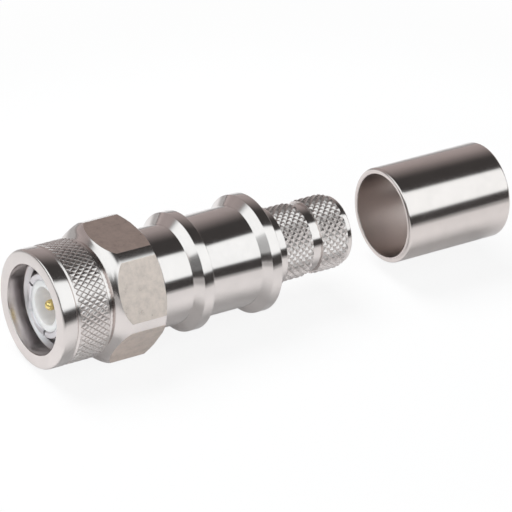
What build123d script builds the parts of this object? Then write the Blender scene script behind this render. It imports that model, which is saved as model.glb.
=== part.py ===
from build123d import *
from math import cos, pi, radians, sin
import os

# TNC crimp plug with its loose crimp ferrule, in millimetres.
# The connector's axis is X. The mating face is at x = 0 and the cable leaves towards +X.
# It lies with a flat of the coupling nut's hexagon down, so +Z is up.

# Mating interface. The radii build outwards from the contact, step by step, to the root of the
# nut's 7/16-28 thread, 11.2 across. The nut is bored to the thread's roots.
contact_d = 8.1
contact_wall = 0.8
contact_root_step = 0.3
gasket_width = 0.95
journal_clearance = 0.05
thread_root_step = 0.05
mouth_step = 0.1
mouth_depth = 2.4
relief_step = 0.2
relief_length = 1.4
mating_depth = 8.4
socket_wall = 0.83
socket_depth = 5.5
pin_d = 1.35

# Coupling nut, outside
nut_wall = 1.9
ring_edge = 0.35
ring_width = 2.1
knurl_lead = 0.35
nut_knurl_length = 4.15
land_width = 0.55
land_edge = 0.15
nut_neck_width = 0.2
nut_neck_depth = 0.6
hex_flats = 15.875
hex_corner_cut = 0.366
hex_front_round = 1.65
hex_length = 7.15
hex_rear_chamfer = 0.65
hex_edge = 0.1

# Coupling nut, inside
ring_groove_depth = 0.5

# Diamond knurls: pitch round the axis and along it, and depth of the crossed grooves
nut_knurl_pitch = 0.84
nut_knurl_lead = 1.0
tube_knurl_pitch = 0.94
tube_knurl_lead = 0.91
knurl_depth = 0.28
knurl_floor_depth = 0.32
knurl_step = 0.05

# Body, outside: each step up in radius from the part before it
nut_end_gap = 0.3
neck_step = 0.85
neck_length = 4.65
barrel_step = 0.1
barrel_length = 7.8
collar_step = 1.12
collar_ramp = 0.72
collar_width = 1.53
shoulder_step = 0.53
shoulder_length = 2.35
knurl_start_gap = 0.2
front_knurl_length = 4.15
tube_groove_width = 1.4
rear_knurl_length = 3.85
tube_lip_length = 0.8
tube_lip_chamfer = 0.3

# Body, inside
cable_bore_d = 7.6
tube_wall = 0.6
bead_stop_step = 0.4
bore_lead = 0.25

# Contacts, insulators, seal and retaining ring
contact_root = 2.4
contact_tip_chamfer = 0.25
finger_slots = 6
finger_slot_width = 0.4
finger_slot_length = 6.0
finger_slot_turn = 21.6
insulator_setback = 0.1
bead_length = 4.0
bead_wall = 1.56
pin_setback = 0.2
pin_shank_step = 0.375
pin_collar_step = 0.3
pin_collar_length = 0.8
conductor_d = 2.74
cup_wall = 0.51
cup_depth = 6.5
cup_length = 7.9
cup_end_gap = 0.3
cup_slots = 4
cup_slot_width = 0.35
cup_slot_length = 4.5
gasket_thickness = 1.0
gasket_chamfer = 0.12
snap_ring_land = 0.85
snap_ring_width = 0.9
snap_ring_depth = 0.93
snap_ring_opening = 30
snap_ring_setback = 1.55
running_gap = 0.1
seat_gap = 0.02

# Crimp ferrule, which stands apart from the plug on the same axis
ferrule_clearance = 0.15
ferrule_wall = 0.75
ferrule_length = 15.9
ferrule_edge = 0.15
ferrule_standoff = 7.7

# Radii that several pieces share
pin_r = pin_d / 2
pin_shank_r = pin_r + pin_shank_step
cup_bore_r = conductor_d / 2 + seat_gap
cup_r = cup_bore_r + cup_wall
pin_collar_r = cup_r + pin_collar_step
bead_r = cup_r + seat_gap + bead_wall
bead_bore_r = bead_r + seat_gap
contact_r = contact_d / 2
contact_bore_r = contact_r - contact_wall
contact_root_r = contact_r + contact_root_step
socket_r = contact_bore_r - socket_wall
gasket_bore_r = contact_root_r + running_gap
gasket_r = gasket_bore_r + gasket_width
journal_r = gasket_r + running_gap
rear_bore_r = journal_r + journal_clearance
thread_root_r = rear_bore_r + thread_root_step
mouth_r = thread_root_r + mouth_step
relief_r = thread_root_r + relief_step
ring_r = thread_root_r + nut_wall
hex_corner_r = hex_flats / 2 / cos(radians(30)) - hex_corner_cut
neck_r = journal_r + neck_step
barrel_r = neck_r + barrel_step
collar_r = barrel_r + collar_step
cable_bore_r = cable_bore_d / 2
tube_r = cable_bore_r + tube_wall
tube_floor_r = tube_r + knurl_step
tube_crest_r = tube_floor_r + knurl_floor_depth
shoulder_r = tube_crest_r + shoulder_step
ferrule_bore_r = shoulder_r + ferrule_clearance

# Stations along the axis, from the mating face to the cable end
knurl_x0 = ring_width + knurl_lead
knurl_x1 = knurl_x0 + nut_knurl_length
land_x1 = knurl_x1 + land_width
nut_neck_x = land_x1 + nut_neck_width
hex_x1 = nut_neck_x + hex_length
ring_x1 = hex_x1 - snap_ring_setback
ring_x0 = ring_x1 - snap_ring_width
journal_x0 = ring_x0 - snap_ring_land
gasket_x0 = journal_x0 - gasket_thickness
thread_x1 = gasket_x0 - relief_length
contact_x0 = gasket_x0 - mating_depth
contact_x1 = journal_x0 + contact_root
bead_x1 = contact_x1 + bead_length
cup_x1 = contact_x1 + cup_length
cable_bore_x0 = cup_x1 + cup_end_gap
neck_x0 = hex_x1 + nut_end_gap
collar_1_x0 = neck_x0 + neck_length
collar_1_x1 = collar_1_x0 + collar_ramp + collar_width
collar_2_x0 = collar_1_x1 + barrel_length
collar_2_x1 = collar_2_x0 + collar_ramp + collar_width
tube_x0 = collar_2_x1 + shoulder_length
front_knurl_x0 = tube_x0 + knurl_start_gap
front_knurl_x1 = front_knurl_x0 + front_knurl_length
rear_knurl_x0 = front_knurl_x1 + tube_groove_width
rear_knurl_x1 = rear_knurl_x0 + rear_knurl_length
tube_x1 = rear_knurl_x1 + tube_lip_length
ferrule_x0 = tube_x1 + ferrule_standoff


def diamond_band(x0, x1, crest_r, pitch, lead, depth):
    """Faces of a diamond knurl round the axis, with the closed outline of each of its ends.

    Two families of crossing grooves leave rows of pyramids. Every second row is turned by half a
    pyramid. The rows at the ends are half pyramids, cut lower, where the knurl's edge is chamfered.
    """
    around = round(2 * pi * crest_r / pitch)
    rows = round(2 * (x1 - x0) / lead)
    valley_r = crest_r - depth
    half_turn = 180 / around

    def point(row, turn, radius):
        angle = radians(turn)
        return Vector(x0 + row * (x1 - x0) / rows, radius * cos(angle), radius * sin(angle))

    def crest(row, turn):
        cut = depth / 3 if row in (0, rows) else 0
        return point(row, turn, crest_r - cut)

    def crest_turns(row):
        return [(2 * n + row % 2) * half_turn for n in range(around)]

    faces = []
    for row in range(rows + 1):
        for turn in crest_turns(row):
            for next_row in (row - 1, row + 1):
                if 0 <= next_row <= rows:
                    tip = point(next_row, turn, valley_r)
                    for side in (-half_turn, half_turn):
                        foot = point(row, turn + side, valley_r)
                        faces.append(Face(Wire.make_polygon([crest(row, turn), tip, foot])))
    outlines = []
    for row in (0, rows):
        corners = []
        for turn in crest_turns(row):
            corners += [crest(row, turn), point(row, turn + half_turn, valley_r)]
        outlines.append(Wire.make_polygon(corners))
    return faces, outlines


def knurled(blank, pitch, lead, *bands):
    """The turned blank, with the plain floor under each band (x0, x1, crest radius) knurled."""
    faces = list(blank.faces())
    for x0, x1, crest_r in bands:
        plain = [face for face in ShapeList(faces).filter_by(GeomType.CYLINDER)
                 if x0 < face.center(CenterOf.MASS).X < x1]
        floor = max(plain, key=lambda face: face.radius)
        rims = floor.edges().filter_by(GeomType.CIRCLE).sort_by(Axis.X)
        pyramids, outlines = diamond_band(x0, x1, crest_r, pitch, lead, knurl_depth)
        ends = [Face(outline, [Wire([rim])]) for outline, rim in zip(outlines, (rims[0], rims[-1]))]
        faces = [face for face in faces if not face.is_same(floor)] + pyramids + ends
    return Solid(Shell(faces))


# Coupling nut: a turned ring, a knurled band and a hexagon in one piece, bored and grooved
nut_floor_r = ring_r - knurl_floor_depth
land_r = ring_r - land_edge
with BuildPart() as nut_blank:
    with BuildSketch(Plane.XZ):
        with BuildLine():
            face = Line((0, mouth_r), (0, ring_r - ring_edge))
            edge = JernArc(face @ 1, (0, 1), ring_edge, -90)
            grip = Polyline(
                edge @ 1,
                (ring_width, ring_r),
                (knurl_x0, nut_floor_r),
                (knurl_x1, nut_floor_r),
                (knurl_x1 + land_edge, land_r),
                (land_x1, land_r),
                (nut_neck_x, ring_r - nut_neck_depth),
            )
            hex_front = (nut_neck_x + hex_front_round, hex_corner_r)
            shoulder = RadiusArc(grip @ 1, hex_front, -2 * hex_front_round)
            Polyline(
                shoulder @ 1,
                (hex_x1 - hex_rear_chamfer, hex_corner_r),
                (hex_x1, hex_flats / 2 - hex_edge),
                (hex_x1, rear_bore_r + bore_lead),
                (hex_x1 - bore_lead, rear_bore_r),
                (ring_x1 + running_gap, rear_bore_r),
                (ring_x1 + running_gap, rear_bore_r + ring_groove_depth),
                (ring_x0 - running_gap, rear_bore_r + ring_groove_depth),
                (ring_x0 - running_gap, rear_bore_r),
                (journal_x0 + running_gap, rear_bore_r),
                (journal_x0 + running_gap, relief_r),
                (thread_x1, relief_r),
                (thread_x1, thread_root_r),
                (mouth_depth + mouth_r - thread_root_r, thread_root_r),
                (mouth_depth, mouth_r),
                face @ 0,
            )
        make_face()
    revolve(axis=Axis.X)
    with BuildSketch(Plane.YZ.offset(nut_neck_x)):
        Circle(2 * hex_corner_r)
        RegularPolygon(hex_flats / 2, 6, major_radius=False, mode=Mode.SUBTRACT)
    extrude(amount=hex_length, mode=Mode.SUBTRACT)

with BuildPart() as coupling_nut:
    band = (knurl_x0, knurl_x1, ring_r)
    add(knurled(nut_blank.part, nut_knurl_pitch, nut_knurl_lead, band))
coupling_nut.part.label = "coupling_nut"


# Body: journal for the nut, neck, barrel between two collars, and the knurled tube for the braid
bead_stop_r = bead_bore_r - bead_stop_step
with BuildPart() as body_blank:
    with BuildSketch(Plane.XZ):
        with BuildLine():
            Polyline(
                (journal_x0, contact_root_r + seat_gap),
                (journal_x0, journal_r - bore_lead),
                (journal_x0 + bore_lead, journal_r),
                (ring_x0 - seat_gap, journal_r),
                (ring_x0 - seat_gap, journal_r - snap_ring_depth / 2),
                (ring_x1 + seat_gap, journal_r - snap_ring_depth / 2),
                (ring_x1 + seat_gap, journal_r),
                (neck_x0, journal_r),
                (neck_x0, neck_r - bore_lead),
                (neck_x0 + bore_lead, neck_r),
                (collar_1_x0, neck_r),
                (collar_1_x0 + collar_ramp, collar_r),
                (collar_1_x1, collar_r),
                (collar_1_x1, barrel_r),
                (collar_2_x0, barrel_r),
                (collar_2_x0 + collar_ramp, collar_r),
                (collar_2_x1, collar_r),
                (collar_2_x1, shoulder_r),
                (tube_x0, shoulder_r),
                (tube_x0, tube_r),
                (front_knurl_x0, tube_r),
                (front_knurl_x0, tube_floor_r),
                (front_knurl_x1, tube_floor_r),
                (front_knurl_x1, tube_r),
                (rear_knurl_x0, tube_r),
                (rear_knurl_x0, tube_floor_r),
                (rear_knurl_x1, tube_floor_r),
                (rear_knurl_x1, tube_r),
                (tube_x1 - tube_lip_chamfer, tube_r),
                (tube_x1, tube_r - tube_lip_chamfer),
                (tube_x1, cable_bore_r + bore_lead),
                (tube_x1 - bore_lead, cable_bore_r),
                (cable_bore_x0, cable_bore_r),
                (cable_bore_x0, bead_stop_r),
                (bead_x1, bead_stop_r),
                (bead_x1, bead_bore_r),
                (contact_x1 + seat_gap, bead_bore_r),
                (contact_x1 + seat_gap, contact_root_r + seat_gap),
                close=True,
            )
        make_face()
    revolve(axis=Axis.X)

with BuildPart() as body:
    add(knurled(
        body_blank.part, tube_knurl_pitch, tube_knurl_lead,
        (front_knurl_x0, front_knurl_x1, tube_crest_r),
        (rear_knurl_x0, rear_knurl_x1, tube_crest_r),
    ))
body.part.label = "body"


# Outer contact: a sprung sleeve, slotted into fingers, pressed into the front of the body
with BuildPart() as outer_contact:
    with BuildSketch(Plane.XZ):
        with BuildLine():
            Polyline(
                (contact_x0, contact_bore_r + contact_tip_chamfer),
                (contact_x0, contact_r - contact_tip_chamfer),
                (contact_x0 + contact_tip_chamfer, contact_r),
                (gasket_x0, contact_r),
                (gasket_x0, contact_root_r),
                (contact_x1, contact_root_r),
                (contact_x1, contact_bore_r),
                (contact_x0 + contact_tip_chamfer, contact_bore_r),
                close=True,
            )
        make_face()
    revolve(axis=Axis.X)
    with BuildSketch(Plane.YZ.offset(contact_x0)):
        with PolarLocations(contact_r - contact_wall / 2, finger_slots, start_angle=finger_slot_turn):
            Rectangle(2 * contact_wall, finger_slot_width)
    extrude(amount=finger_slot_length, mode=Mode.SUBTRACT)
outer_contact.part.label = "outer_contact"


# Front insulator: a white tube with a deep cavity round the pin
insulator_x0 = contact_x0 + insulator_setback
cavity_x1 = contact_x0 + socket_depth
with BuildPart() as front_insulator:
    with BuildSketch(Plane.XZ):
        with BuildLine():
            Polyline(
                (insulator_x0, socket_r),
                (insulator_x0, contact_bore_r - seat_gap),
                (contact_x1, contact_bore_r - seat_gap),
                (contact_x1, pin_shank_r + seat_gap),
                (cavity_x1, pin_shank_r + seat_gap),
                (cavity_x1, socket_r),
                close=True,
            )
        make_face()
    revolve(axis=Axis.X)
front_insulator.part.label = "front_insulator"


# Centre contact: a domed pin in front, a collar held between the insulators, a slotted cup behind
pin_x0 = contact_x0 + pin_setback
with BuildPart() as centre_contact:
    with BuildSketch(Plane.XZ):
        with BuildLine():
            Line((pin_x0, 0), (cup_x1 - cup_depth, 0))
            dome = JernArc((pin_x0, 0), (0, 1), pin_r, -90)
            Polyline(
                dome @ 1,
                (cavity_x1, pin_r),
                (cavity_x1, pin_shank_r),
                (contact_x1 + seat_gap, pin_shank_r),
                (contact_x1 + seat_gap, pin_collar_r),
                (contact_x1 + pin_collar_length, pin_collar_r),
                (contact_x1 + pin_collar_length, cup_r),
                (cup_x1, cup_r),
                (cup_x1, cup_bore_r),
                (cup_x1 - cup_depth, cup_bore_r),
                (cup_x1 - cup_depth, 0),
            )
        make_face()
    revolve(axis=Axis.X)
    with BuildSketch(Plane.YZ.offset(cup_x1)):
        with PolarLocations((cup_r + cup_bore_r) / 2, cup_slots):
            Rectangle(cup_r - cup_bore_r + cup_slot_width, cup_slot_width)
    extrude(amount=-cup_slot_length, mode=Mode.SUBTRACT)
centre_contact.part.label = "centre_contact"


# Rear insulator: a bead that traps the pin's collar against the front insulator
with BuildPart() as rear_insulator:
    with BuildSketch(Plane.XZ):
        with BuildLine():
            Polyline(
                (contact_x1 + seat_gap, pin_collar_r + seat_gap),
                (contact_x1 + seat_gap, bead_r),
                (bead_x1, bead_r),
                (bead_x1, cup_r + seat_gap),
                (contact_x1 + pin_collar_length + seat_gap, cup_r + seat_gap),
                (contact_x1 + pin_collar_length + seat_gap, pin_collar_r + seat_gap),
                close=True,
            )
        make_face()
    revolve(axis=Axis.X)
rear_insulator.part.label = "rear_insulator"


# Gasket: a flat seal on the front of the body, which the jack's rim presses on
with BuildPart() as gasket:
    with BuildSketch(Plane.YZ.offset(gasket_x0)):
        Circle(gasket_r)
        Circle(gasket_bore_r, mode=Mode.SUBTRACT)
    extrude(amount=gasket_thickness)
    chamfer(gasket.faces().sort_by(Axis.X)[0].edges(), gasket_chamfer)
gasket.part.label = "gasket"


# Snap ring: a split ring in the journal's groove, which reaches into the nut's groove
snap_ring_r = journal_r - snap_ring_depth / 2 + seat_gap
with BuildPart() as snap_ring:
    with BuildSketch(Plane.XZ):
        with BuildLine():
            Polyline(
                (ring_x0, snap_ring_r),
                (ring_x1, snap_ring_r),
                (ring_x1, snap_ring_r + snap_ring_depth),
                (ring_x0, snap_ring_r + snap_ring_depth),
                close=True,
            )
        make_face()
    revolve(axis=Axis.X, revolution_arc=360 - snap_ring_opening)
snap_ring.part.label = "snap_ring"


# Crimp ferrule: a plain drawn sleeve that slides over the knurled tube
with BuildPart() as crimp_ferrule:
    with BuildSketch(Plane.YZ.offset(ferrule_x0)):
        Circle(ferrule_bore_r + ferrule_wall)
        Circle(ferrule_bore_r, mode=Mode.SUBTRACT)
    extrude(amount=ferrule_length)
    fillet(crimp_ferrule.edges().filter_by(GeomType.CIRCLE), ferrule_edge)
crimp_ferrule.part.label = "crimp_ferrule"


os.makedirs("parts", exist_ok=True)
pieces = [
    coupling_nut, body, outer_contact, front_insulator, centre_contact,
    rear_insulator, gasket, snap_ring, crimp_ferrule,
]
for piece in pieces:
    export_step(piece.part, f"parts/{piece.part.label}.step")
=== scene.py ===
import math

import bmesh
import bpy
from mathutils import Matrix, Vector


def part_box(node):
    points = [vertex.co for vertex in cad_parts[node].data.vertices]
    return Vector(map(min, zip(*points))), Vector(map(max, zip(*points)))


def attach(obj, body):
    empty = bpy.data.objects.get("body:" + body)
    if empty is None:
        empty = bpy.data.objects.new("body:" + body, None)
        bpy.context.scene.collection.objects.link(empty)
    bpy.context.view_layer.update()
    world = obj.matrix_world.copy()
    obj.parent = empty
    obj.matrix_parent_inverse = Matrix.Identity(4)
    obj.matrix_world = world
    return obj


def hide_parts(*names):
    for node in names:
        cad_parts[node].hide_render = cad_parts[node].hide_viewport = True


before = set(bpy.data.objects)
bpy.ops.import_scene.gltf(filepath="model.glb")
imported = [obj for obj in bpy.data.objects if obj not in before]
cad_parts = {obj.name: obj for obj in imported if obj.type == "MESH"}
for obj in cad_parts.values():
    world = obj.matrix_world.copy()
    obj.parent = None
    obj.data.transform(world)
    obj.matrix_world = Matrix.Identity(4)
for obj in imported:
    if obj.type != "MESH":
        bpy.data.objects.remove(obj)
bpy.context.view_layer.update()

MM = 0.001

# The CAD model's main sizes, in millimetres. Stations go back along X from the nut's front face, and each
# knurled band of the tube is its first station, its last one and its rows of pyramids.
HEX_FLAT_R = 7.9375
HEX_CORNER_R = 8.8
RING_R = 7.5
MOUTH_R = 5.7
MOUTH_DEPTH = 2.4
THREAD_ROOT_R = 5.6
THREAD_CREST_R = 5.12
THREAD_PITCH = 0.907
THREAD_END = 8.8
JOURNAL_R = 5.5
BORE_R = 5.55
CONTACT_R = 4.05
CONTACT_BORE_R = 3.25
NUT_KNURL = (2.45, 6.6)
TUBE_KNURLS = ((34.3, 38.45, 9), (39.85, 43.7, 8))

# The floor lies a hair under the hexagon's lower flat, so that the two faces never coincide
FLOOR_Z = -HEX_FLAT_R - 0.01


# Mesh helpers

def ends(node):
    """A CAD node's first and last station along X, in millimetres."""
    return [round(corner[0] / MM, 3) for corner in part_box(node)]


def spread(first, last, steps):
    """Numbers at even steps from first to last, with both."""
    return [first + (last - first) * k / steps for k in range(steps + 1)]


def soften(points, steps=5):
    """A profile of (x, r) or (x, r, fillet) points as a polyline, with an arc wherever there is a fillet."""
    side_share = 0.49
    flat = []
    for i, point in enumerate(points):
        here = Vector(point[:2])
        fillet = point[2] if len(point) > 2 else 0
        if not fillet:
            flat.append(here)
            continue
        before = Vector(points[i - 1][:2]) - here
        after = Vector(points[(i + 1) % len(points)][:2]) - here
        half = before.angle(after) / 2
        reach = min(fillet / math.tan(half), before.length * side_share, after.length * side_share)
        radius = reach * math.tan(half)
        inward = (before.normalized() + after.normalized()).normalized()
        centre = here + inward * (radius / math.sin(half))
        start = here + before.normalized() * reach - centre
        sweep = start.angle_signed(here + after.normalized() * reach - centre)
        for turn in spread(0, -sweep, steps):
            flat.append(centre + Matrix.Rotation(turn, 2) @ start)
    return [(p.x, p.y) for p in flat]


def at(x, turn, r):
    """The point at a station in mm, an angle from +Y towards +Z in radians and a radius in mm."""
    return (x * MM, r * MM * math.cos(turn), r * MM * math.sin(turn))


def grid(bm, rows, closed):
    """Quads between rows of points; each row closes on itself where closed."""
    made = [[bm.verts.new(p) for p in row] for row in rows]
    for low, high in zip(made, made[1:]):
        n = len(low)
        for j in range(n if closed else n - 1):
            k = (j + 1) % n
            bm.faces.new((low[j], low[k], high[k], high[j]))
    return made


def lathe(bm, profile, around=144, ring=False):
    """Turns a profile of (x, r) round the X axis. ring closes the profile on itself."""
    if ring:
        profile = profile + profile[:1]
    rows = [[at(x, 2 * math.pi * j / around, r) for j in range(around)] for x, r in profile]
    grid(bm, rows, True)


def knurl(bm, x0, x1, crest_r, floor_r, around, rows, levels):
    """A diamond knurl: rows of blunt pyramids, and the walls at both its ends.

    levels go from a pyramid's foot to its top, as the share of its width and the depth below the crest.
    The half pyramids at both ends are cut down to half the depth of the grooves.
    """
    step = (x1 - x0) / rows
    half = math.pi / around
    for row in range(rows + 1):
        x = x0 + row * step
        corners = [(-step, 0), (0, -half), (step, 0), (0, half)]
        if row == 0:
            corners = [(0, -half), (step, 0), (0, half)]
        if row == rows:
            corners = [(0, half), (-step, 0), (0, -half)]
        end = len(corners) == 3
        cut = levels[0][1] / 2 if end else 0
        for n in range(around):
            turn = (2 * n + row % 2) * half
            outlines = []
            for share, depth in levels:
                top_r = crest_r - max(depth, cut)
                outline = [at(x + share * dx, turn + share * dt, top_r) for dx, dt in corners]
                outlines.append([bm.verts.new(point) for point in outline])
            bm.faces.new(outlines[-1])
            for low, high in zip(outlines, outlines[1:]):
                for j in range(2 if end else 4):
                    k = (j + 1) % len(corners)
                    bm.faces.new((low[j], low[k], high[k], high[j]))
            if end:
                for j in (0, 2):
                    foot = bm.verts.new(at(x, turn + corners[j][1], floor_r))
                    under = bm.verts.new(at(x, turn, floor_r))
                    middle = bm.verts.new(at(x, turn, top_r))
                    bm.faces.new([outline[j] for outline in outlines] + [middle, under, foot])


def finish_mesh(bm, name, body, material, replaced=(), sharp=22):
    """The bmesh as a named piece, smooth except at edges sharper than the given angle in degrees."""
    bmesh.ops.remove_doubles(bm, verts=bm.verts, dist=1e-7)
    bmesh.ops.dissolve_degenerate(bm, edges=bm.edges, dist=1e-8)
    bmesh.ops.recalc_face_normals(bm, faces=bm.faces)
    mesh = bpy.data.meshes.new(name)
    bm.to_mesh(mesh)
    bm.free()
    mesh.polygons.foreach_set("use_smooth", [True] * len(mesh.polygons))
    mesh.set_sharp_from_angle(angle=math.radians(sharp))
    mesh.materials.append(material)
    piece = bpy.data.objects.new(name, mesh)
    bpy.context.scene.collection.objects.link(piece)
    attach(piece, body)
    if replaced:
        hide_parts(*replaced)


# Node helpers

def grey(value):
    return (value, value, value, 1)


def shade(colour, factor):
    return tuple(c * factor for c in colour[:3]) + (1,)


class Nodes:
    """Adds nodes to a node tree and joins them."""

    def __init__(self, tree):
        self.tree = tree

    def add(self, kind, inputs=None, **settings):
        """A node of a kind, with each input set to a value or joined to a socket."""
        node = self.tree.nodes.new(kind)
        for key, value in settings.items():
            setattr(node, key, value)
        for key, value in (inputs or {}).items():
            if isinstance(value, bpy.types.NodeSocket):
                self.tree.links.new(value, node.inputs[key])
            else:
                node.inputs[key].default_value = value
        return node

    def calc(self, operation, a, b=0.0, c=0.0, clamp=False):
        return self.add("ShaderNodeMath", {0: a, 1: b, 2: c}, operation=operation, use_clamp=clamp).outputs[0]

    def dot(self, a, b):
        return self.add("ShaderNodeVectorMath", {0: a, 1: b}, operation="DOT_PRODUCT").outputs["Value"]

    def step(self, value, edge, soft, low, high):
        """low before the edge and high after it, with a smooth change that reaches soft to both sides."""
        inputs = {0: value, 1: edge - soft, 2: edge + soft, 3: low, 4: high}
        return self.add("ShaderNodeMapRange", inputs, interpolation_type="SMOOTHSTEP").outputs[0]

    def between(self, value, low, high, soft):
        """1 between low and high and 0 outside them, with a smooth step at each."""
        rise = self.step(value, low, soft, 0.0, 1.0)
        fall = self.step(value, high, soft, 1.0, 0.0)
        return self.calc("MULTIPLY", rise, fall)

    def ray_share(self, camera, gloss):
        """camera for rays from the camera, gloss for reflected rays and those through glass, else 0."""
        ray = self.add("ShaderNodeLightPath")
        indirect = self.calc("MAXIMUM", ray.outputs["Is Glossy Ray"], ray.outputs["Is Transmission Ray"])
        seen_in_gloss = self.calc("MULTIPLY", indirect, gloss)
        return self.calc("MULTIPLY_ADD", ray.outputs["Is Camera Ray"], camera, seen_in_gloss)


class Material(Nodes):
    """A material with its shader and the texture nodes used here."""

    def __init__(self, name):
        self.material = bpy.data.materials.new(name)
        self.material.use_nodes = True
        super().__init__(self.material.node_tree)
        self.shader = self.tree.nodes["Principled BSDF"]
        self.place = self.add("ShaderNodeTexCoord").outputs["Object"]

    def ramp(self, value, stops):
        """A colour that follows a value, from stops of (value, colour)."""
        node = self.add("ShaderNodeValToRGB", {0: value})
        points = node.color_ramp.elements
        while len(points) < len(stops):
            points.new(0.5)
        for element, (place, colour) in zip(points, stops):
            element.position = place
            element.color = colour
        return node.outputs[0]

    def shades(self, value, colour, stops):
        """Shades of one colour that follow a value, from stops of (value, brightness)."""
        return self.ramp(value, [(place, shade(colour, factor)) for place, factor in stops])

    def noise(self, vector, scale, detail=3.0, rough=0.5):
        inputs = {"Vector": vector, "Scale": scale, "Detail": detail, "Roughness": rough}
        return self.add("ShaderNodeTexNoise", inputs).outputs["Fac"]

    def blend(self, share, a, b, kind="MIX"):
        inputs = {"Factor": share, 6: a, 7: b}
        return self.add("ShaderNodeMix", inputs, data_type="RGBA", blend_type=kind).outputs[2]

    def bevel(self, radius, samples):
        """The normal as if edges were rounded to a radius in mm."""
        return self.add("ShaderNodeBevel", {"Radius": radius * MM}, samples=samples).outputs[0]

    def bump(self, height, strength, depth, normal=None):
        """The normal bent by a height from 0 to 1, where 1 stands out by a depth in mm."""
        inputs = {"Strength": strength, "Distance": depth * MM, "Height": height}
        if normal is not None:
            inputs["Normal"] = normal
        return self.add("ShaderNodeBump", inputs).outputs[0]

    def set(self, **values):
        """Sets or joins inputs of the shader, whose names have _ here for each space."""
        for key, value in values.items():
            socket = self.shader.inputs[key.replace("_", " ")]
            if isinstance(value, bpy.types.NodeSocket):
                self.tree.links.new(value, socket)
            else:
                socket.default_value = value


# Materials

def on_flats(m):
    """1 on the nut's six flats: only they reach one of the hexagon's own planes."""
    slack = 0.004
    reach = 0.0
    for turn in (30, 90, 150):
        across = (0, math.cos(math.radians(turn)), math.sin(math.radians(turn)))
        reach = m.calc("MAXIMUM", reach, m.calc("ABSOLUTE", m.dot(m.place, across)))
    return m.calc("GREATER_THAN", reach, (HEX_FLAT_R - slack) * MM)


def painted_edge_highlight(m):
    """0 on plain surfaces and up to 1 at edges, where a rounded normal turns away from the true one. It marks
    where a highlight is painted along the edges.
    """
    contrast = 2.5
    rounded = m.bevel(radius=0.10, samples=6)
    true_normal = m.add("ShaderNodeNewGeometry").outputs["Normal"]
    turned_away = m.calc("SUBTRACT", 1.0, m.dot(rounded, true_normal), clamp=True)
    return m.calc("MULTIPLY", turned_away, contrast, clamp=True)


def turned_normal(m, x, blotch, groove):
    """The normal of turned metal: soft edges, fine and wide rings from the lathe, and faint dents."""
    along = m.add("ShaderNodeCombineXYZ", {0: x, 1: 0.0, 2: 0.0}).outputs[0]
    rings = m.noise(along, scale=9000.0, detail=4.0, rough=0.7)
    wide_rings = m.noise(along, scale=1600.0, detail=2.0)
    height = m.calc("MULTIPLY_ADD", rings, 0.6, m.calc("MULTIPLY", wide_rings, 0.4))
    grooved = m.bump(height, strength=groove, depth=0.0015, normal=m.bevel(radius=0.06, samples=4))
    return m.bump(blotch, strength=0.08, depth=0.004, normal=grooved)


def plated(name, colour, rough, groove=0.25, mottle=0.35, knurls=(), bore=(0, 0), flats=None):
    """Plated and turned metal: rings from the lathe, mottled and pitted plating, and a painted highlight that
    makes the edges brighter.

    knurls are stretches of X in mm with the roughness that each adds, and bore is a radius in mm with the
    roughness that the surface inside it adds. flats is the colour of the nut's milled flats, which have a
    grain and fainter rings.
    """
    m = Material(name)
    x, y, z = m.add("ShaderNodeSeparateXYZ", {0: m.place}).outputs
    blotch = m.noise(m.place, scale=420.0, detail=5.0, rough=0.6)
    base = m.shades(blotch, colour, [(0.3, 0.96), (0.5, 1.0), (0.72, 1.03)])
    gloss = m.calc("MULTIPLY_ADD", blotch, mottle * rough, rough * (1 - mottle / 2))
    for low, high, dullness in knurls:
        inside = m.calc("MULTIPLY", m.calc("GREATER_THAN", x, low * MM), m.calc("LESS_THAN", x, high * MM))
        gloss = m.calc("MULTIPLY_ADD", inside, dullness, gloss)
    bore_r, bore_dullness = bore
    if bore_r:
        outwards = m.add("ShaderNodeCombineXYZ", {0: 0.0, 1: y, 2: z}).outputs[0]
        radius = m.add("ShaderNodeVectorMath", {0: outwards}, operation="LENGTH").outputs["Value"]
        gloss = m.calc("MULTIPLY_ADD", m.calc("LESS_THAN", radius, bore_r * MM), bore_dullness, gloss)
    if flats:
        milled = on_flats(m)
        grain = m.noise(m.place, scale=950.0, detail=5.0, rough=0.7)
        base = m.blend(milled, base, m.shades(grain, flats, [(0.34, 0.87), (0.5, 1.0), (0.64, 1.08)]))
        milled_gloss = m.calc("MULTIPLY_ADD", grain, 0.16, 0.22)
        gloss = m.calc("MULTIPLY_ADD", milled, m.calc("SUBTRACT", milled_gloss, gloss), gloss)
        groove = m.calc("MULTIPLY_ADD", milled, -0.8 * groove, groove)
    specks = m.noise(m.place, scale=5200.0, detail=2.0)
    pits = m.ramp(specks, [(0.70, grey(1.0)), (0.78, grey(0.86))])
    base = m.blend(1.0, base, pits, "MULTIPLY")
    # Painted highlight: the edges get a brighter colour that stands in for the light they catch.
    base = m.blend(painted_edge_highlight(m), base, shade(colour, 1.1))
    m.set(Base_Color=base, Metallic=1.0, Roughness=gloss, Normal=turned_normal(m, x, blotch, groove))
    return m.material


def ptfe(name, colour):
    """Waxy white plastic that light enters a little way, with a faint grain."""
    m = Material(name)
    cloud = m.noise(m.place, scale=600.0, detail=4.0, rough=0.55)
    grain = m.noise(m.place, scale=7000.0, detail=2.0)
    tint = m.shades(cloud, colour, [(0.3, 0.97), (0.7, 1.01)])
    gloss = m.calc("MULTIPLY_ADD", cloud, 0.2, 0.32)
    m.set(Base_Color=tint, Roughness=gloss, Normal=m.bump(grain, strength=0.3, depth=0.006))
    m.set(Subsurface_Weight=1.0, Subsurface_Radius=(1.0, 1.0, 1.0), Subsurface_Scale=1.2 * MM, IOR=1.35)
    return m.material


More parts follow.
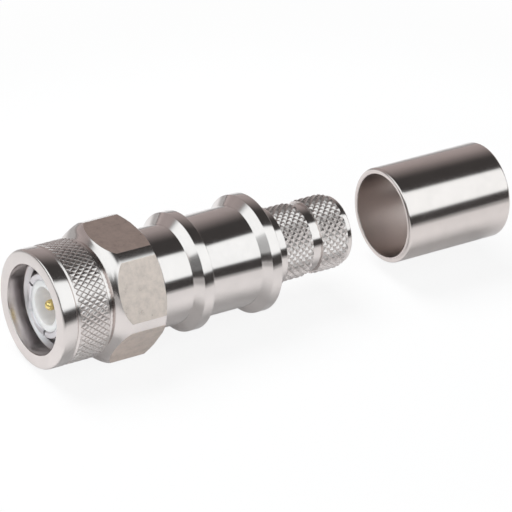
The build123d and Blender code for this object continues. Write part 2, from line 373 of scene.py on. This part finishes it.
def rubber(name, colour):
    """Matt moulded rubber with a fine bloom."""
    m = Material(name)
    cloud = m.noise(m.place, scale=900.0, detail=4.0, rough=0.6)
    tint = m.shades(cloud, colour, [(0.3, 0.8), (0.7, 1.15)])
    gloss = m.calc("MULTIPLY_ADD", cloud, 0.2, 0.6)
    m.set(Base_Color=tint, Roughness=gloss, Normal=m.bump(cloud, strength=0.5, depth=0.01))
    return m.material


NICKEL = (0.70, 0.645, 0.625)
nickel_nut = plated(
    "nickel_nut", NICKEL, 0.15, knurls=[(*NUT_KNURL, 0.13)], bore=(5.78, 0.06), flats=(0.78, 0.665, 0.60),
)
nickel_body = plated("nickel_body", NICKEL, 0.13, knurls=[(x0, x1, 0.2) for x0, x1, rows in TUBE_KNURLS])
nickel_thread = plated("nickel_thread", (0.74, 0.71, 0.72), 0.42)
nickel_contact = plated("nickel_contact", (0.80, 0.775, 0.80), 0.42, groove=0.15)
nickel_ferrule = plated(
    "nickel_ferrule", (0.70, 0.635, 0.61), 0.155, groove=0.3, mottle=0.4, bore=(5.6, 0.15),
)
gold = plated("gold_plate", (0.86, 0.68, 0.28), 0.20, groove=0.1)
bronze = plated("spring_bronze", (0.62, 0.45, 0.28), 0.30)
white_plastic = ptfe("white_ptfe", (0.965, 0.945, 1.0))
seal = rubber("seal_rubber", (0.45, 0.15, 0.10))


# Coupling nut

def hex_rows(profile, across=8, corner=12):
    """Rows round a hexagon with turned corners: on each flat, the profile's radius is cut by the flat."""
    rows = []
    for x, r in profile:
        half = math.acos(min(1.0, HEX_FLAT_R / r))
        row = []
        for side in range(6):
            middle = math.radians(30 + 60 * side)
            for turn in spread(-half, half, across):
                flat_r = HEX_FLAT_R / math.cos(turn) if half > 0 else r
                row.append(at(x, middle + turn, flat_r))
            for turn in spread(half, math.radians(60) - half, corner)[1:-1]:
                row.append(at(x, middle + turn, r))
        rows.append(row)
    return rows


def hexagon_profile(front, back):
    """The turned outline of the hexagon between two points: a round front, a straight crest and a chamfer."""
    arc_x, arc_y, arc_r = 10.477, 5.845, 3.3
    crest_stations = (10.6, 12.2)
    chamfer = 0.65
    turns = spread(math.radians(147), math.radians(116.6), 14)
    arc = [(arc_x + arc_r * math.cos(turn), arc_y + arc_r * math.sin(turn)) for turn in turns]
    crest = [(x, HEX_CORNER_R) for x in crest_stations]
    rear = zip(spread(back[0] - chamfer, back[0], 4), spread(HEX_CORNER_R, back[1], 4))
    return [front, *arc, *crest, *rear]


def build_nut():
    """The ring with its mouth, the knurled band, the land, the round-fronted hexagon and the rear bore."""
    knurl_x0, knurl_x1 = NUT_KNURL
    floor_r, lip_r = 7.18, 7.46
    notch_x0, notch_x1, notch_r = 2.0, 2.06, 7.12
    land_x0, land_x1, land_r = 6.68, 6.97, 7.35
    waist_x0, waist_x1, waist_r = 7.07, 7.26, 6.95
    relief_x1, relief_r = 11.3, 5.8
    groove_x0, groove_x1, groove_r = 11.95, 13.05, 6.05
    rear_x, rear_r, rear_chamfer = ends("coupling_nut")[1], 7.8375, 0.25
    pyramid = [(1, 0.19), (0.84, 0.05), (0.2, 0)]
    bm = bmesh.new()
    lathe(bm, soften([
        (relief_x1, BORE_R), (relief_x1, relief_r), (THREAD_END, relief_r), (THREAD_END, THREAD_ROOT_R),
        (MOUTH_DEPTH + 0.1, THREAD_ROOT_R), (MOUTH_DEPTH, MOUTH_R), (0, MOUTH_R, 0.12),
        (0, RING_R, 0.38), (notch_x0 - 0.03, RING_R, 0.05), (notch_x0, notch_r), (notch_x1, notch_r),
        (knurl_x0 - 0.02, lip_r, 0.03), (knurl_x0, lip_r - 0.02), (knurl_x0, floor_r),
    ]))
    knurl(bm, knurl_x0, knurl_x1, RING_R, floor_r, around=56, rows=8, levels=pyramid)
    lathe(bm, soften([
        (knurl_x1, floor_r), (land_x0, land_r, 0.05), (land_x1, land_r, 0.05),
        (waist_x0, waist_r), (waist_x1, waist_r),
    ]))
    grid(bm, hex_rows(hexagon_profile((waist_x1, waist_r), (rear_x, rear_r))), True)
    lathe(bm, soften([
        (rear_x, rear_r), (rear_x, BORE_R + rear_chamfer), (rear_x - rear_chamfer, BORE_R),
        (groove_x1, BORE_R), (groove_x1, groove_r), (groove_x0, groove_r), (groove_x0, BORE_R),
        (relief_x1, BORE_R),
    ]))
    finish_mesh(bm, "coupling_nut_shell", "nut", nickel_nut, ["coupling_nut"])


def build_thread():
    """The right-hand thread's ridges, and the ring in front of them that slopes in from the plain mouth.

    Their feet lie a hair inside the nut's wall, and the ridges fade out at both ends.
    """
    foot_r = THREAD_ROOT_R + 0.02
    crest_x0 = MOUTH_DEPTH + 0.5
    crest_x1 = crest_x0 + 0.25
    ring_x1 = crest_x1 + 0.2
    bm = bmesh.new()
    lathe(bm, soften([
        (MOUTH_DEPTH, foot_r + 0.1), (MOUTH_DEPTH, foot_r), (crest_x0, THREAD_CREST_R, 0.05),
        (crest_x1, THREAD_CREST_R), (ring_x1, foot_r),
    ]))
    x0, x1, per_turn = ring_x1 + 0.1, THREAD_END - 0.2, 96
    count = int((x1 - x0) / THREAD_PITCH * per_turn)
    fading = 0.4 * per_turn
    rows = []
    for k in range(count + 1):
        turn = 2 * math.pi * k / per_turn
        x = x0 + THREAD_PITCH * k / per_turn
        fade = min(1.0, k / fading, (count - k) / fading)
        crest_r = THREAD_ROOT_R - (THREAD_ROOT_R - THREAD_CREST_R) * fade
        foot, shoulder = 0.40 * fade + 0.01, 0.10 * fade + 0.004
        front = [(-foot, foot_r), (-shoulder, crest_r + 0.015), (-shoulder / 2, crest_r)]
        back = [(-dx, r) for dx, r in reversed(front)]
        rows.append([at(x + dx, turn, r) for dx, r in front + back])
    grid(bm, rows, False)
    finish_mesh(bm, "jack_thread_ridges", "nut", nickel_thread)


# Body

def collar(back, front_r, rear_r, rear_fillet):
    """A collar's profile: the cone up from the radius in front of it, its rim and the step down behind."""
    cone, rim, rim_r = 0.95, 1.4, 7.57
    return [
        (back - rim - cone, front_r, 0.06), (back - rim, rim_r, 0.12),
        (back, rim_r, 0.1), (back, rear_r, rear_fillet),
    ]


def build_body():
    """The turned body, bored through: journal, neck, barrel between two collars, shoulder, knurled tube."""
    front, back = ends("body")
    neck_x0, neck_r = 14.8, 6.35
    barrel_x0, barrel_r = 21.7, 6.45
    shoulder_x0, shoulder_x1, shoulder_r = 31.75, 34.1, 5.3
    tube_r, crest_r, floor_r = 4.4, 4.77, 4.45
    groove_x0, groove_x1, groove_r = 12.03, 12.97, 5.035
    contact_x1, contact_r = 13.62, 4.37
    bead_x1, bead_r = 17.6, 3.5
    cable_x0, cable_r, passage_r = 21.8, 3.8, 3.1
    pyramid = [(1, 0.21), (0.22, 0)]
    bm = bmesh.new()
    profile = [
        (front, contact_r), (front, JOURNAL_R, 0.2), (groove_x0, JOURNAL_R), (groove_x0, groove_r),
        (groove_x1, groove_r), (groove_x1, JOURNAL_R), (neck_x0, JOURNAL_R), (neck_x0, neck_r, 0.22),
        *collar(barrel_x0, neck_r, barrel_r, 0.08), *collar(shoulder_x0, barrel_r, shoulder_r, 0.05),
        (shoulder_x1, shoulder_r, 0.1), (shoulder_x1, tube_r),
    ]
    for x0, x1, rows in TUBE_KNURLS:
        lathe(bm, soften(profile + [(x0, tube_r), (x0, floor_r)]))
        knurl(bm, x0, x1, crest_r, floor_r, around=32, rows=rows, levels=pyramid)
        profile = [(x1, floor_r), (x1, tube_r)]
    lathe(bm, soften(profile + [
        (back, tube_r, 0.2), (back, cable_r, 0.15), (cable_x0, cable_r), (cable_x0, passage_r),
        (bead_x1, passage_r), (bead_x1, bead_r), (contact_x1, bead_r), (contact_x1, contact_r),
        (front, contact_r),
    ]))
    finish_mesh(bm, "plug_body_shell", "plug_body", nickel_body, ["body"])


# Contact and insulator

def build_contact():
    """The outer contact's six fingers and the ring that they spring from."""
    front, back = ends("outer_contact")
    fingers, per_finger = 6, 18
    slot_turn, half_slot, slot_x1 = math.radians(21.6), 0.2, 7.8
    inner_chamfer, outer_chamfer = 0.15, 0.08
    root_x0, root_r = 10.2, 4.35
    pitch = 2 * math.pi / fingers
    bm = bmesh.new()
    profile = soften([
        (front, CONTACT_BORE_R + inner_chamfer, 0.05), (front, CONTACT_R - outer_chamfer, 0.03),
        (front + outer_chamfer, CONTACT_R, 0.03), (slot_x1, CONTACT_R), (slot_x1, CONTACT_BORE_R),
        (front + inner_chamfer, CONTACT_BORE_R, 0.05),
    ])
    for finger in range(fingers):
        start = slot_turn + pitch * finger
        rows = []
        for x, r in profile + profile[:1]:
            gap = math.asin(half_slot / r)
            turns = spread(start + gap, start + pitch - gap, per_finger)
            rows.append([at(x, turn, r) for turn in turns])
        made = grid(bm, rows, False)
        for j in (0, -1):
            bm.faces.new([row[j] for row in made[:-1]])
    lathe(bm, [
        (slot_x1, CONTACT_R), (root_x0, CONTACT_R), (root_x0, root_r), (back, root_r),
        (back, CONTACT_BORE_R), (slot_x1, CONTACT_BORE_R),
    ], ring=True)
    finish_mesh(bm, "outer_contact_fingers", "plug_body", nickel_contact, ["outer_contact"])


def build_insulator():
    """The PTFE tube in the contact, with its deep cavity round the pin."""
    front, back = ends("front_insulator")
    outer_r, shank_r = 3.23, 1.07
    cavity_x1, cavity_r = 7.3, 2.42
    bm = bmesh.new()
    lathe(bm, soften([
        (front, cavity_r, 0.12), (front, outer_r, 0.06), (back, outer_r), (back, shank_r),
        (cavity_x1, shank_r), (cavity_x1, cavity_r, 0.1),
    ]), ring=True)
    finish_mesh(bm, "front_insulator_tube", "plug_body", white_plastic, ["front_insulator"])


# Crimp ferrule

def build_ferrule():
    """The drawn sleeve with round edges at both ends."""
    front, back = ends("crimp_ferrule")
    inner_r, inner_edge = 5.45, 0.12
    outer_r, outer_edge = 6.2, 0.55
    bm = bmesh.new()
    lathe(bm, soften([
        (front, inner_r, inner_edge), (front, outer_r, outer_edge),
        (back, outer_r, outer_edge), (back, inner_r, inner_edge),
    ], steps=8), around=160, ring=True)
    finish_mesh(bm, "crimp_ferrule_sleeve", "ferrule", nickel_ferrule, ["crimp_ferrule"])


build_nut()
build_thread()
build_body()
build_contact()
build_insulator()
build_ferrule()

# The nodes that keep the CAD's own meshes
for node, material in (
    ("centre_contact", gold), ("rear_insulator", white_plastic), ("gasket", seal), ("snap_ring", bronze),
):
    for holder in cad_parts[node].material_slots:
        holder.material = material


# Floor, light and camera

def build_floor():
    """A round table top with a painted pool of light: pale round the plug and greyer far off, where the grey
    stands in for light falling off with distance. The camera sees it almost white.
    """
    radius, around = 600.0, 96
    middle = (45.0, -15.0, FLOOR_Z)
    painted_pool_r, fading = 82.5, 22.5
    camera_share, gloss_share = 0.88, 0.12
    turns = [2 * math.pi * k / around for k in range(around)]
    rim = [(radius * MM * math.cos(turn), radius * MM * math.sin(turn), FLOOR_Z * MM) for turn in turns]
    mesh = bpy.data.meshes.new("floor")
    mesh.from_pydata(rim, [], [range(around)])
    floor = bpy.data.objects.new("floor", mesh)
    bpy.context.scene.collection.objects.link(floor)
    m = Material("pale_floor")
    inputs = {0: m.place, 1: [value * MM for value in middle]}
    away = m.add("ShaderNodeVectorMath", inputs, operation="DISTANCE").outputs["Value"]
    # Painted light: 0 inside the painted pool of light round the plug, rising to 1 far off.
    far = m.step(away, painted_pool_r * MM, fading * MM, 0.0, 1.0)
    cloud = m.noise(m.place, scale=40.0)
    tint = m.ramp(cloud, [(0.3, (0.87, 0.87, 0.875, 1)), (0.7, (0.89, 0.89, 0.895, 1))])
    # The colour turns from pale to grey away from the plug, painting the light's falloff into the floor.
    m.set(Base_Color=m.blend(far, tint, grey(0.36)), Roughness=0.9)
    white = m.add("ShaderNodeEmission", {"Color": grey(1.0), "Strength": 1.0})
    share = m.ray_share(m.calc("MULTIPLY_ADD", far, 1 - camera_share, camera_share), gloss_share)
    mixed = m.add("ShaderNodeMixShader", {0: share, 1: m.shader.outputs[0], 2: white.outputs[0]})
    m.tree.links.new(mixed.outputs[0], m.tree.nodes["Material Output"].inputs["Surface"])
    mesh.materials.append(m.material)


def build_world():
    """A light tent: a wide front panel, dark above and below it, a window at the left and a dim back.

    Panels are placed by roll, the angle from the front over the top to the back, and by side, the angle
    from the middle to the right, both in degrees. Metal shows them bright, as lamps they are half as strong,
    and the camera itself sees plain white.
    """
    world = bpy.data.worlds.new("studio")
    bpy.context.scene.world = world
    world.use_nodes = True
    world.node_tree.nodes.clear()
    w = Nodes(world.node_tree)
    degrees = 180 / math.pi
    split = w.add("ShaderNodeSeparateXYZ", {0: w.add("ShaderNodeTexCoord").outputs["Generated"]})
    x, y, z = split.outputs
    roll = w.calc("MULTIPLY", w.calc("ARCTAN2", z, w.calc("MULTIPLY", y, -1.0)), degrees)
    side = w.calc("MULTIPLY", w.calc("ARCSINE", x), degrees)
    cool, warm = Vector((0.93, 1.0, 1.02)), Vector((1.08, 0.965, 0.95))
    panels = [
        # roll low, high and soft edge, side low, high and soft edge, colour
        ((20.5, 76, 3), (-62, 90, 12), 1.42 * cool),
        ((73, 157, 4), (-79, -36, 5), 1.42 * cool),
        ((134, 235, 30), (-42, 90, 8), 0.40 * warm),
        ((168, 235, 12), (-42, 90, 8), 0.54 * warm),
    ]
    total = 0.02 * warm
    for roll_range, side_range, colour in panels:
        reach = w.calc("MULTIPLY", w.between(roll, *roll_range), w.between(side, *side_range))
        panel = w.add("ShaderNodeVectorMath", {0: colour, "Scale": reach}, operation="SCALE").outputs[0]
        total = w.add("ShaderNodeVectorMath", {0: panel, 1: total}, operation="MAXIMUM").outputs[0]
    as_lamp = 0.5
    strength = w.calc("MULTIPLY_ADD", w.ray_share(camera=1.0, gloss=1.0), 1 - as_lamp, as_lamp)
    sky = w.add("ShaderNodeBackground", {"Color": total, "Strength": strength})
    white = w.add("ShaderNodeBackground", {"Color": grey(1.0), "Strength": 1.0})
    share = w.ray_share(camera=1.0, gloss=0.04)
    mixed = w.add("ShaderNodeMixShader", {0: share, 1: sky.outputs[0], 2: white.outputs[0]})
    w.add("ShaderNodeOutputWorld", {"Surface": mixed.outputs[0]})


def add_lamp(name, place, target, size, power):
    """A broad square lamp that lights the scene but doesn't show in the metal, in metres and watts."""
    lamp = bpy.data.lights.new(name, "AREA")
    lamp.size = size
    lamp.energy = power
    holder = bpy.data.objects.new(name, lamp)
    holder.location = place
    holder.rotation_mode = "QUATERNION"
    holder.rotation_quaternion = (Vector(target) - Vector(place)).to_track_quat("-Z", "Y")
    holder.visible_glossy = False
    holder.visible_camera = False
    bpy.context.scene.collection.objects.link(holder)


def build_camera():
    """The photograph's camera: a long lens, with its own right, up and back directions."""
    data = bpy.data.cameras.new("camera")
    camera = bpy.data.objects.new("camera", data)
    bpy.context.scene.collection.objects.link(camera)
    data.sensor_width = 36
    data.lens = 302.34
    data.clip_start, data.clip_end = 0.05, 10
    right = Vector((0.8272, -0.5520, 0.1049))
    up = Vector((0.2234, 0.4943, 0.8401))
    back = Vector((-0.5156, -0.6715, 0.5322))
    turn = Matrix((right, up, back)).transposed()
    camera.rotation_mode = "QUATERNION"
    camera.rotation_quaternion = turn.to_quaternion()
    camera.location = (-0.2443, -0.3611, 0.2852)
    bpy.context.scene.camera = camera


build_floor()
build_world()
add_lamp("overhead", (-0.12, 0.38, 0.72), (0.03, 0, 0), size=0.5, power=6.9)
add_lamp("front_fill", (-0.50, -0.22, 0.12), (0, 0, 0), size=0.2, power=1.1)
build_camera()
bpy.context.scene.view_settings.view_transform = "Standard"
